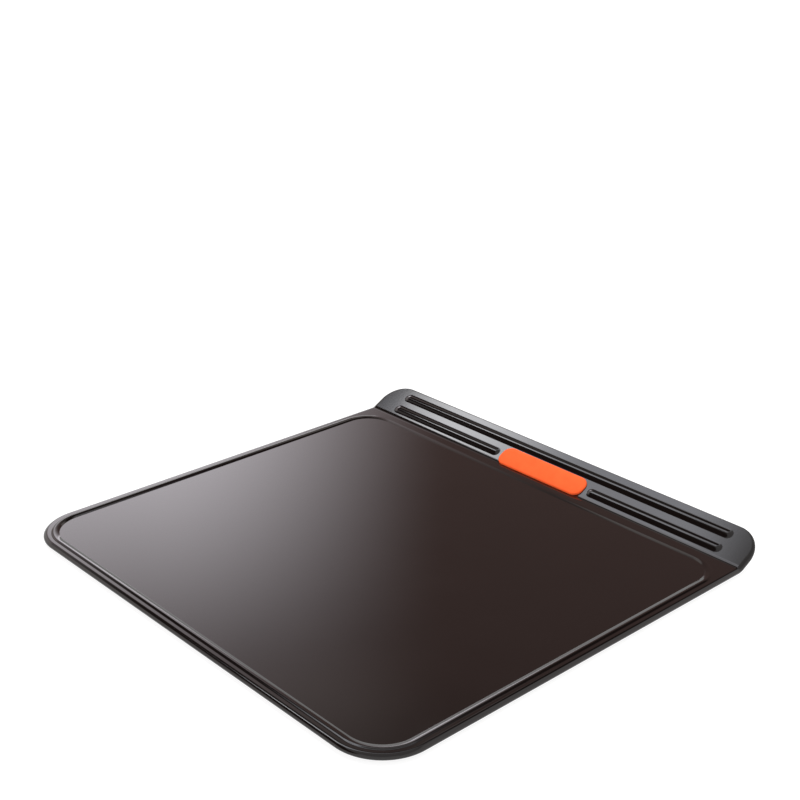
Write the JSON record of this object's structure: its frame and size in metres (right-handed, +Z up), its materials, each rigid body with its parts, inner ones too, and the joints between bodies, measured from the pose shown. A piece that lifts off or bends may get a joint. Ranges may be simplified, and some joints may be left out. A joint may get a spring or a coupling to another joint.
{
  "type": "baking sheet",
  "caption": "Flat double-walled baking sheet with a low lip, a rolled rim and a raised, ribbed handle wing along the back that holds a silicone grip.",
  "frame": {"origin": "middle of the footprint's bounding box, on the table under the base sheet", "axes": "+X to the right along the handle, +Y from the front edge towards the handle, +Z up out of the cooking surface"},
  "size_m": [0.38, 0.3626, 0.0211],
  "materials": {
    "coated_steel": "glossy dark non-stick coating",
    "silicone": "soft satin"
  },
  "bodies": {
    "root": {"top_sheet": "coated_steel", "base_sheet": "coated_steel", "silicone_grip": "silicone"}
  },
  "joints": []
}
